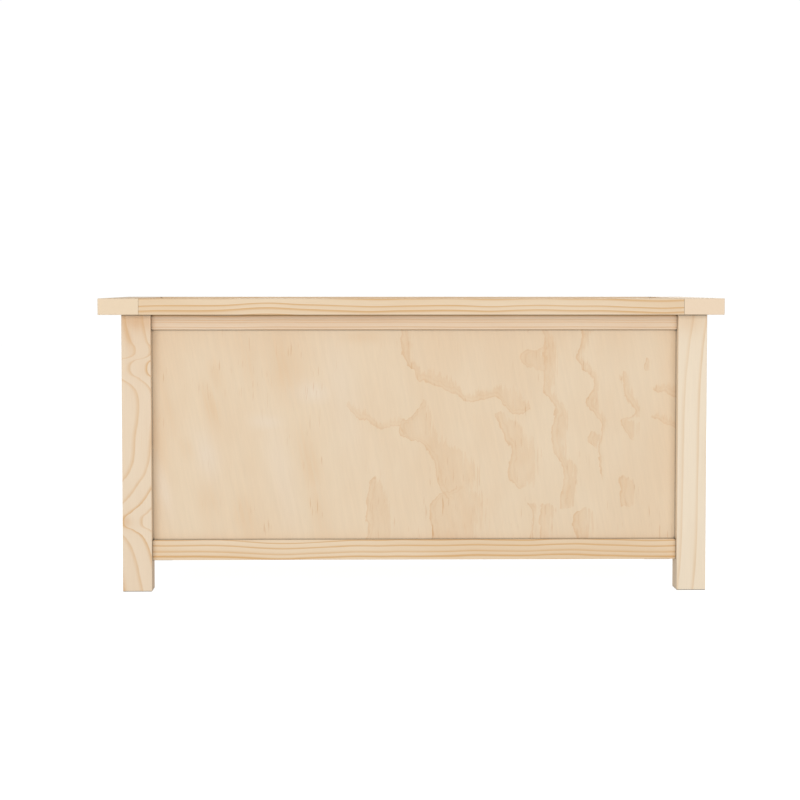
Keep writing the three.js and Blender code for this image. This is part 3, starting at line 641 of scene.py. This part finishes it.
BOARDS = {
    "post_front_left": ("z", {
        "pith": (-0.106, 0.379), "spacing": 6.4 * MM, "phase": 0.27, "uneven": 0.03,
        "wave": 0.4 * MM, "wave_length": 0.06, "seed": 2.4, "late": 0.26, "contrast": 1.05,
        "light": srgb(235, 215, 189), "warm": srgb(232, 209, 181),
        "swelling": (
            (-201, -2.0), (-160, 0.4), (-125, 3.8), (-110, 8.1), (-100, 11.1), (-86, 8.8),
            (-72, 4.9), (-45, -0.2), (-22, -3.8), (-2, -5.1), (31, -6.2), (54, -7.2),
            (72, -7.4), (87, -6.8), (95, -5.6), (110, -0.8), (123, 2.4), (135, 0.6),
            (148, -5.9), (163, -4.2), (201, -2.4)),
        # The first spot is painted shade below the lid, the second a dark knot with painted shade
        # over it, and the last two darken the post's left edge lower down.
        "stains_and_shade": (
            (-2, 192, 30, 14, 0.45), (-13, 176, 6, 26, 0.4), (-19, -99, 11, 8, 0.45),
            (-21, -185, 4, 26, 0.4))}),
    "post_front_right": ("z", {
        "pith": (-0.106, 0.379), "spacing": 5.6 * MM, "phase": 0.04, "uneven": 0.03,
        "wave": 0.2 * MM, "wave_length": 0.2, "seed": 5.1, "late": 0.25, "contrast": 0.55,
        "light": srgb(241, 225, 201), "warm": srgb(238, 220, 194),
        "swelling": ((-201, 4.9), (-117, 3.6), (-44, 3.4), (59, 3.0), (132, 2.0), (201, -0.4)),
        # This spot is painted shade below the lid.
        "stains_and_shade": ((-6, 190, 25, 18, 0.18),)}),
    "post_back_left": ("z", {
        "pith": (0.05, 0.03), "tilt": (0.01, 0.02), "seed": 7.7}),
    "post_back_right": ("z", {
        "pith": (-0.02, -0.07), "tilt": (0.02, 0.01), "seed": 9.2, "wave": 6 * MM}),
    "lid_end_board_left": ("y", {
        "pith": (0.03, -0.09), "seed": 11.3, "wave": 5 * MM}),
    "lid_end_board_right": ("y", {
        "pith": (-0.02, -0.08), "seed": 13.8, "wave": 5 * MM, "end": srgb(238, 215, 187)}),
    "lid_front_rail": ("x", {
        "pith": (-0.02, -0.09), "spacing": 8.5 * MM, "seed": 15.2, "wave": 3 * MM,
        "swells": ((-0.205, 0.05, -0.005),), "contrast": 1.6}),
    "lid_back_rail": ("x", {
        "pith": (-0.03, -0.07), "seed": 17.5, "wave": 4 * MM}),
    "front_top_rail": ("x", {
        "pith": (0.0, -0.12), "spacing": 5 * MM, "seed": 19.1, "wave": 1 * MM,
        "contrast": 1.5, "light": srgb(235, 215, 190), "warm": srgb(231, 207, 180)}),
    "front_bottom_rail": ("x", {
        "pith": (0.0, 0.10), "spacing": 8.0 * MM, "seed": 21.9, "wave": 3 * MM,
        "swells": ((-0.198, 0.055, -0.005),), "contrast": 1.7}),
}

PLAIN_BOARDS = {
    "back_top_rail": "x",
    "back_bottom_rail": "x",
    "left_top_rail": "y",
    "left_bottom_rail": "y",
    "right_top_rail": "y",
    "right_bottom_rail": "y",
    "floor_cleat_front": "x",
    "floor_cleat_back": "x",
    "floor_cleat_left": "y",
    "floor_cleat_right": "y",
}

# Each panel: its grain and its figure.
PANELS = {
    "front_panel": ("z", {
        "seed": 1.7, "bands": FRONT_BANDS, "smudges": FRONT_SMUDGES, "pales": FRONT_PALES}),
    "back_panel": ("z", {"seed": 13.7}),
    "left_panel": ("z", {"seed": 23.2, "start": -0.1}),
    "right_panel": ("z", {"seed": 31.5, "start": -0.1}),
    "lid_panel": ("x", {"seed": 57.1, "start": -0.2, "full": -0.1}),
    "floor_panel": ("x", {"seed": 43.9, "start": -0.2, "full": -0.1}),
}


def dress_wood():
    for name, (along, board) in BOARDS.items():
        dress(name, pine(name, along, board))
    for number, (name, along) in enumerate(PLAIN_BOARDS.items()):
        turn = 2.4 * number
        board = {
            "pith": (0.07 * math.cos(turn), 0.07 * math.sin(turn)),
            "tilt": (0.01 * math.sin(turn), 0.01 * math.cos(turn)),
            "spacing": (5.5 + number % 3) * MM,
            "seed": 40.0 + 3.3 * number,
        }
        dress(name, pine(name, along, board))
    for name, (along, figure) in PANELS.items():
        dress(name, plywood(name, along, figure))


# Metal -----------------------------------------------------------------------------------


def zinc_steel():
    """Zinc-plated steel with a soft, slightly clouded shine and fine rolling marks."""
    graph = MaterialGraph("zinc_plated_steel")
    position = graph.object_position()
    clouds = graph.noise(position, 160.0, 4.0, 0.6)
    lines = graph.noise(graph.vector("MULTIPLY", position, (400.0, 400.0, 6000.0)))
    colour = graph.ramp(clouds, ((0.3, srgb(186, 188, 190)), (0.7, srgb(212, 213, 212))))
    mixed = graph.math("MULTIPLY_ADD", clouds, 0.7, graph.math("MULTIPLY", lines, 0.3))
    rough = graph.spread(mixed, 0.3, 0.7, 0.24, 0.42)
    graph.shader.inputs["Metallic"].default_value = 1.0
    return graph.finish(colour, rough, graph.bump(lines, 0.15, 0.05 * MM), 0.5)


def dress_hardware(steel):
    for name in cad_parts:
        if name.startswith(("hinge_", "stay_")):
            dress(name, steel)


# Countersunk screws ------------------------------------------------------------------------

SCREW_HEAD_RADIUS = 2.85 * MM
SCREW_SHANK_RADIUS = 1.5 * MM
SCREW_LENGTH = 9 * MM
SCREW_SUNK = 0.08 * MM
SCREW_SIDES = 32
CROSS_ARM = 1.75 * MM
CROSS_HALF_WIDTH = 0.42 * MM
CROSS_DEPTH = 1.1 * MM
CROSS_TAPER = 0.45
SCREW_TIP_RADIUS = 0.2 * MM
SCREW_TURN_STEP = 0.9
HINGE_SCREW_PITCH = 24 * MM
HINGE_SCREW_Y = 198.3 * MM
STAY_SCREW_PITCH = 30 * MM
BRACKET_GAP = 0.2 * MM
BOX_BRACKET_SCREW_DROP = 6.5 * MM
LID_BRACKET_SCREW_REACH = 18.8 * MM
CLEAT_SCREW_PITCH = 180 * MM


def screw_mesh():
    """A countersunk screw with a cross recess. Its head faces +Z, at the origin."""
    shape = bmesh.new()
    rim = []
    for side in range(SCREW_SIDES):
        angle = 2 * math.pi * side / SCREW_SIDES
        rim.append(shape.verts.new((
            SCREW_HEAD_RADIUS * math.cos(angle), SCREW_HEAD_RADIUS * math.sin(angle), 0.0)))
    cross = []
    for quarter in range(4):
        turn = Matrix.Rotation(quarter * math.pi / 2, 3, "Z")
        for x, y in ((CROSS_HALF_WIDTH, CROSS_HALF_WIDTH), (CROSS_HALF_WIDTH, CROSS_ARM),
                     (-CROSS_HALF_WIDTH, CROSS_ARM)):
            cross.append(shape.verts.new(turn @ Vector((x, y, 0.0))))
    edges = []
    for loop in (rim, cross):
        for first, second in zip(loop, loop[1:] + loop[:1]):
            edges.append(shape.edges.new((first, second)))
    bmesh.ops.triangle_fill(shape, use_beauty=True, edges=edges)
    floor = [shape.verts.new((vert.co.x * CROSS_TAPER, vert.co.y * CROSS_TAPER, -CROSS_DEPTH))
             for vert in cross]
    for step in range(len(cross)):
        after = (step + 1) % len(cross)
        shape.faces.new((cross[step], cross[after], floor[after], floor[step]))
    shape.faces.new(floor)
    cone_depth = SCREW_HEAD_RADIUS - SCREW_SHANK_RADIUS
    rings = [rim]
    for radius, depth in ((SCREW_SHANK_RADIUS, cone_depth),
                          (SCREW_SHANK_RADIUS, SCREW_LENGTH - 2 * SCREW_SHANK_RADIUS),
                          (SCREW_TIP_RADIUS, SCREW_LENGTH)):
        scale = radius / SCREW_HEAD_RADIUS
        rings.append([shape.verts.new((vert.co.x * scale, vert.co.y * scale, -depth))
                      for vert in rim])
    for upper, lower in zip(rings, rings[1:]):
        for side in range(SCREW_SIDES):
            after = (side + 1) % SCREW_SIDES
            shape.faces.new((upper[side], lower[side], lower[after], upper[after]))
    shape.faces.new(rings[-1])
    bmesh.ops.recalc_face_normals(shape, faces=shape.faces)
    mesh = bpy.data.meshes.new("screw")
    shape.to_mesh(mesh)
    shape.free()
    return mesh


def add_screw(pattern, name, body, place, facing, turn):
    """One screw with its head at a place on a surface, the cross turned a little."""
    piece = bpy.data.objects.new(name, pattern.copy())
    bpy.context.scene.collection.objects.link(piece)
    upright = Vector(facing).to_track_quat("Z", "Y") @ Quaternion((0.0, 0.0, 1.0), turn)
    piece.rotation_mode = "QUATERNION"
    piece.rotation_quaternion = upright
    piece.location = Vector(place) - SCREW_SUNK * Vector(facing)
    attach(piece, body)


def hinge_screws():
    """(name, body, place, facing) of the three screws in each hinge leaf."""
    for side in ("left", "right"):
        for leaf, body, up in (("box", "carcass", 1.0), ("lid", "lid", -1.0)):
            low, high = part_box(f"hinge_{side}_{leaf}_leaf")
            middle = (low.x + high.x) / 2
            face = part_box("back_top_rail")[1].z if up > 0 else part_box("lid_back_rail")[0].z
            for step in (-1, 0, 1):
                place = (middle + step * HINGE_SCREW_PITCH, HINGE_SCREW_Y, face)
                yield f"screw_hinge_{side}_{leaf}_{step + 2}", body, place, (0.0, 0.0, up)


def stay_screws():
    """(name, body, place, facing) of the two screws in each bracket of the stays."""
    for side, inward in (("left", 1.0), ("right", -1.0)):
        low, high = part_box(f"stay_{side}_box_bracket")
        middle = (low.y + high.y) / 2
        face = high.x if inward > 0 else low.x
        wall = low.x if inward > 0 else high.x
        for number, step in enumerate((-0.5, 0.5), 1):
            y = middle + step * STAY_SCREW_PITCH
            place = (face, y, high.z - BOX_BRACKET_SCREW_DROP)
            yield f"screw_stay_{side}_box_{number}", "carcass", place, (inward, 0.0, 0.0)
            rail_face = wall - inward * BRACKET_GAP
            place = (rail_face - inward * LID_BRACKET_SCREW_REACH, y,
                     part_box(f"lid_end_board_{side}")[0].z)
            yield f"screw_stay_{side}_lid_{number}", "lid", place, (0.0, 0.0, -1.0)


def cleat_screws():
    """(name, body, place, facing) of the screws that hold the floor's cleats to the rails."""
    for wall, axis, inward in (("front", "y", 1.0), ("back", "y", -1.0),
                               ("left", "x", 1.0), ("right", "x", -1.0)):
        low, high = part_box("floor_cleat_" + wall)
        across = AXES[axis]
        along = 1 - across
        run = high[along] - low[along]
        count = max(2, round(run / CLEAT_SCREW_PITCH))
        for number in range(count):
            place = (low + high) / 2
            place[across] = high[across] if inward > 0 else low[across]
            place[along] = low[along] + run * (number + 0.5) / count
            facing = [0.0, 0.0, 0.0]
            facing[across] = inward
            yield f"screw_cleat_{wall}_{number + 1}", "carcass", place, facing


def add_screws(steel):
    pattern = screw_mesh()
    pattern.materials.append(steel)
    screws = [*hinge_screws(), *stay_screws(), *cleat_screws()]
    for number, (name, body, place, facing) in enumerate(screws):
        add_screw(pattern, name, body, place, facing, SCREW_TURN_STEP * number)
    bpy.data.meshes.remove(pattern)


# Edges -----------------------------------------------------------------------------------

# How much is taken off the arrises of each kind of piece.
WOOD_ARRIS = 1.1 * MM
RAIL_ARRIS = 2.0 * MM
PANEL_ARRIS = 0.4 * MM
STEEL_ARRIS = 0.2 * MM

# Vertices nearer than WELD_REACH are one, faces within FLAT_ANGLE are flat, and an edge over
# SHARP_ANGLE is sharp, unless it lies within TIGHT_REACH of a glued joint.
WELD_REACH = 0.005 * MM
FLAT_ANGLE = math.radians(1.0)
SHARP_ANGLE = math.radians(35)
TIGHT_REACH = 0.6 * MM
LID_BOARDS = ("lid_end_board_left", "lid_end_board_right", "lid_front_rail", "lid_back_rail")

# Each wall: the axis along its rails, and the posts at its two ends.
WALLS = {
    "front": ("x", "post_front_left", "post_front_right"),
    "back": ("x", "post_back_left", "post_back_right"),
    "left": ("y", "post_front_left", "post_back_left"),
    "right": ("y", "post_front_right", "post_back_right"),
}


def edge_marks(name, attribute, kind, tight_planes=()):
    """Node group that marks a mesh's sharp edges, except those that lie in a tight plane."""
    group = bpy.data.node_groups.new(name, "GeometryNodeTree")
    for way in ("INPUT", "OUTPUT"):
        group.interface.new_socket("Geometry", in_out=way, socket_type="NodeSocketGeometry")
    graph = Graph(group)
    start = graph.add("NodeGroupInput")
    end = graph.add("NodeGroupOutput")
    angle = graph.add("GeometryNodeInputMeshEdgeAngle").outputs["Unsigned Angle"]
    mark = graph.math("GREATER_THAN", angle, SHARP_ANGLE)
    position = graph.split(graph.add("GeometryNodeInputPosition").outputs[0])
    for axis, place in tight_planes:
        distance = graph.math("ABSOLUTE", graph.math("SUBTRACT", position[AXES[axis]], place))
        mark = graph.product(mark, graph.math("GREATER_THAN", distance, TIGHT_REACH))
    store = graph.add("GeometryNodeStoreNamedAttribute", data_type=kind, domain="EDGE")
    graph.feed(store.inputs["Geometry"], start.outputs[0])
    graph.feed(store.inputs["Name"], attribute)
    graph.feed(store.inputs["Value"], mark)
    smooth = graph.add("GeometryNodeSetShadeSmooth")
    graph.feed(smooth.inputs["Geometry"], store.outputs[0])
    graph.feed(end.inputs[0], smooth.outputs[0])
    return group


def ease_edges(node_name, width, segments, creases, tight_planes=()):
    """Takes the sharp arris off a CAD node's edges. Those in a glued joint stay sharp."""
    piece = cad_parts[node_name]
    weld = piece.modifiers.new("weld", "WELD")
    weld.merge_threshold = WELD_REACH
    flat = piece.modifiers.new("flat_faces", "DECIMATE")
    flat.decimate_type = "DISSOLVE"
    flat.angle_limit = FLAT_ANGLE
    arrises = piece.modifiers.new("arrises", "NODES")
    arrises.node_group = edge_marks(
        "arrises_" + node_name, "bevel_weight_edge", "FLOAT", tight_planes)
    bevel = piece.modifiers.new("eased_edges", "BEVEL")
    bevel.width = width
    bevel.segments = segments
    bevel.limit_method = "WEIGHT"
    piece.modifiers.new("creases", "NODES").node_group = creases
    normals = piece.modifiers.new("normals", "WEIGHTED_NORMAL")
    normals.keep_sharp = True


def joint_planes(node_name):
    """The planes in which a rail's shoulders meet the posts, or the lid's boards each other."""
    if node_name in LID_BOARDS:
        inner_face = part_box("lid_end_board_left")[1].x
        return (("x", inner_face), ("x", -inner_face))
    axis, low_post, high_post = WALLS[node_name.split("_")[0]]
    return ((axis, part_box(low_post)[1][AXES[axis]]), (axis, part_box(high_post)[0][AXES[axis]]))


def ease_all_edges():
    creases = edge_marks("creases", "sharp_edge", "BOOLEAN")
    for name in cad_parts:
        if name in PANELS:
            ease_edges(name, PANEL_ARRIS, 2, creases)
        elif name in LID_BOARDS:
            ease_edges(name, WOOD_ARRIS, 3, creases, joint_planes(name))
        elif name.endswith("_rail"):
            ease_edges(name, RAIL_ARRIS, 3, creases, joint_planes(name))
        elif name in BOARDS or name in PLAIN_BOARDS:
            ease_edges(name, WOOD_ARRIS, 3, creases)
        elif not name.endswith(("_rivet", "_pin")):
            ease_edges(name, STEEL_ARRIS, 2, creases)


# Stage, light and camera -----------------------------------------------------------------

# The camera's turn to the right and its dip are in radians, its lens and sensor in millimetres.
CAMERA_PLACE = (-0.0806, -3.2859, 0.4462)
CAMERA_TURN = 0.0206
CAMERA_DIP = 0.05414
CAMERA_LENS = 96.35
CAMERA_SENSOR = 36.0
FLOOR_SIZE = 12.0
FLOOR_DROP = 0.2 * MM

# Brightness as the camera sees it, and as it lights the object.
FLOOR_GLOW = (0.93, 0.385)
SURROUND_GLOW = (1.02, 0.59)

# Each softbox: its place, its size and its strength. All of them face one target.
SOFTBOX_TARGET = (0.0, 0.0, 0.25)
SOFTBOXES = {
    "left_softbox": ((-1.6, -3.2, 0.7), (1.8, 1.2), 0.24),
    "right_softbox": ((1.4, -3.3, 0.7), (1.8, 1.2), 0.192),
    "back_softbox": ((0.6, 3.2, 1.7), (2.2, 1.2), 0.25),
}


def add_camera():
    camera = bpy.data.objects.new("camera", bpy.data.cameras.new("camera"))
    bpy.context.scene.collection.objects.link(camera)
    camera.location = CAMERA_PLACE
    camera.rotation_euler = (math.pi / 2 - CAMERA_DIP, 0.0, -CAMERA_TURN)
    camera.data.sensor_width = CAMERA_SENSOR
    camera.data.lens = CAMERA_LENS
    bpy.context.scene.camera = camera


def seen_and_felt(graph, seen, felt):
    """One brightness for the camera, and another for the light that falls on the object."""
    camera = graph.add("ShaderNodeLightPath").outputs["Is Camera Ray"]
    return graph.math("MULTIPLY_ADD", camera, seen - felt, felt)


def add_floor():
    """A pale floor, lit from below as a light table is, so that shadows on it stay faint."""
    mesh = bpy.data.meshes.new("floor")
    shape = bmesh.new()
    bmesh.ops.create_grid(shape, x_segments=4, y_segments=4, size=FLOOR_SIZE)
    shape.to_mesh(mesh)
    shape.free()
    floor = bpy.data.objects.new("floor", mesh)
    floor.location.z = -FLOOR_DROP
    bpy.context.scene.collection.objects.link(floor)
    graph = MaterialGraph("floor_paper")
    grain = graph.noise(graph.object_position(), 60.0)
    colour = graph.ramp(grain, ((0.3, grey(0.24)), (0.7, grey(0.26))))
    graph.shader.inputs["Emission Color"].default_value = grey(1.0)
    graph.feed(graph.shader.inputs["Emission Strength"], seen_and_felt(graph, *FLOOR_GLOW))
    mesh.materials.append(graph.finish(colour, 0.9, graph.bump(grain, 0.05, 1 * MM), 0.1))


def add_softbox(name, place, size, strength):
    """An area light. strength is how brightly it lights a white card on the target."""
    light = bpy.data.lights.new(name, "AREA")
    light.shape = "RECTANGLE"
    light.size, light.size_y = size
    aim = Vector(SOFTBOX_TARGET) - Vector(place)
    light.energy = strength * math.pi ** 2 * aim.length_squared
    holder = bpy.data.objects.new(name, light)
    holder.location = place
    holder.rotation_euler = aim.to_track_quat("-Z", "Y").to_euler()
    bpy.context.scene.collection.objects.link(holder)


def add_world():
    """A white surround that lights the box softly."""
    world = bpy.data.worlds.new("studio")
    world.use_nodes = True
    graph = Graph(world.node_tree)
    background = graph.nodes["Background"]
    graph.feed(background.inputs["Color"], grey(1.0))
    graph.feed(background.inputs["Strength"], seen_and_felt(graph, *SURROUND_GLOW))
    bpy.context.scene.world = world


def add_light():
    add_world()
    for name, (place, size, strength) in SOFTBOXES.items():
        add_softbox(name, place, size, strength)


def set_colour_management():
    view = bpy.context.scene.view_settings
    view.view_transform = "Standard"
    view.look = "None"
    view.exposure = 0.0
    view.gamma = 1.0


add_camera()
add_floor()
add_light()
set_colour_management()
dress_wood()
steel = zinc_steel()
dress_hardware(steel)
ease_all_edges()
add_screws(steel)
